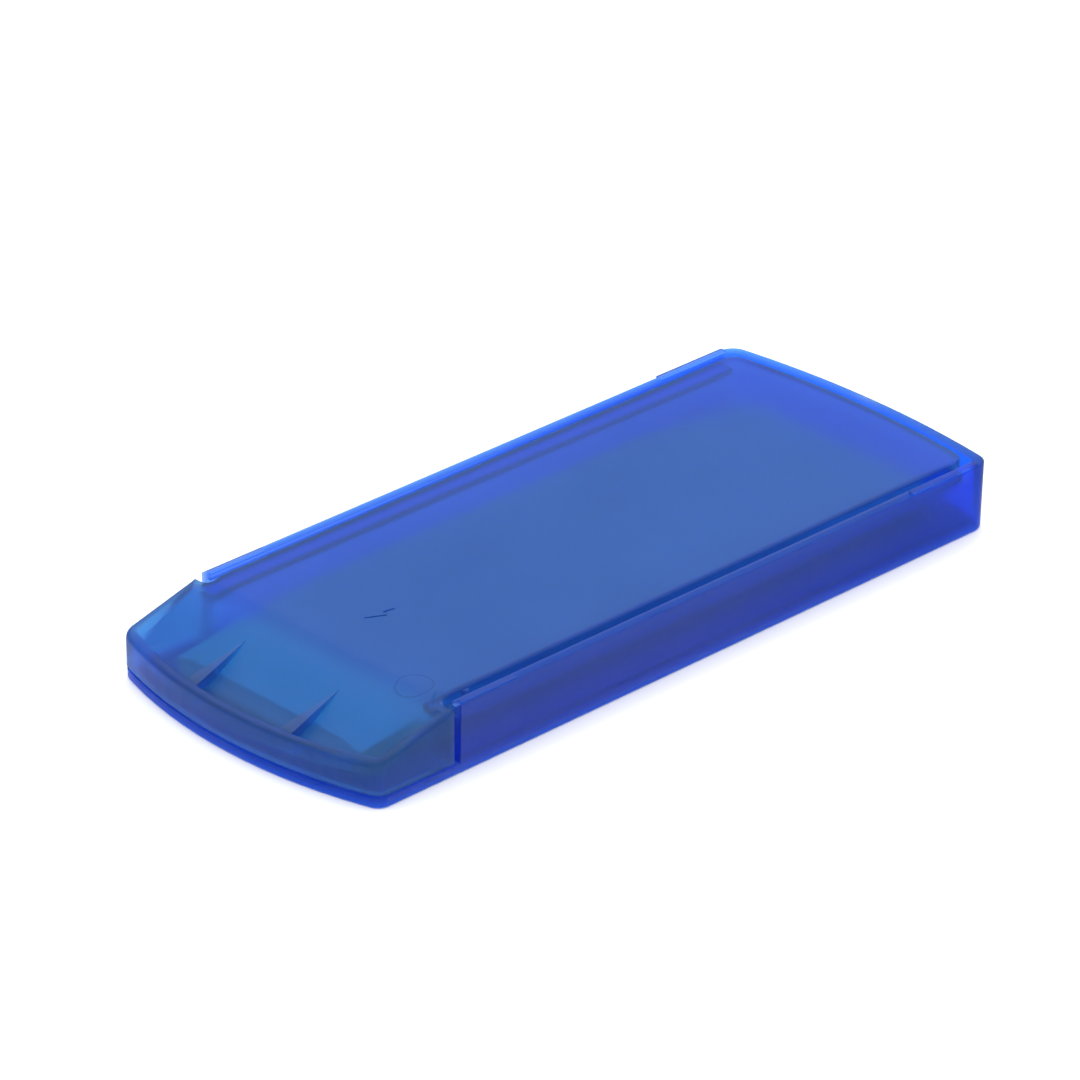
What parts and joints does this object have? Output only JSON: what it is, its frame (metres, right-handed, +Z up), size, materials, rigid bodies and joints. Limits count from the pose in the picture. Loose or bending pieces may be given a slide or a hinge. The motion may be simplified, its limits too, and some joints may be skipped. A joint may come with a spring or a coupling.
{
  "type": "slide case for wrapped adhesive strips",
  "caption": "Flat pocket case in frosted blue plastic: a tray, a lid that slides in grooves and has a thumb scoop with ribs, and a stack of wrapped adhesive strips inside.",
  "frame": {"origin": "middle of the footprint, on the surface that the case stands on", "axes": "+X along the case from the thumb scoop to the closed end, +Y across it, +Z up out of the lid"},
  "size_m": [0.0939, 0.0394, 0.0083],
  "materials": {
    "tray_plastic": "frosted translucent blue polypropylene, satin outside, slightly brighter where it is thin",
    "lid_plastic": "frosted translucent blue polypropylene, finely textured panel",
    "wrapper_paper": "white paper wrapper with crimped ends"
  },
  "bodies": {
    "tray": {"base_tray": "tray_plastic", "wrapped_strip_1": "wrapper_paper", "wrapped_strip_2": "wrapper_paper", "wrapped_strip_3": "wrapper_paper", "wrapped_strip_4": "wrapper_paper", "wrapped_strip_5": "wrapper_paper"},
    "lid": {"sliding_lid": "lid_plastic"}
  },
  "joints": [
    {"name": "lid_slide", "type": "slide", "parent": "tray", "child": "lid", "axis": [-1, 0, 0], "range_m": [0, 0.072]}
  ]
}
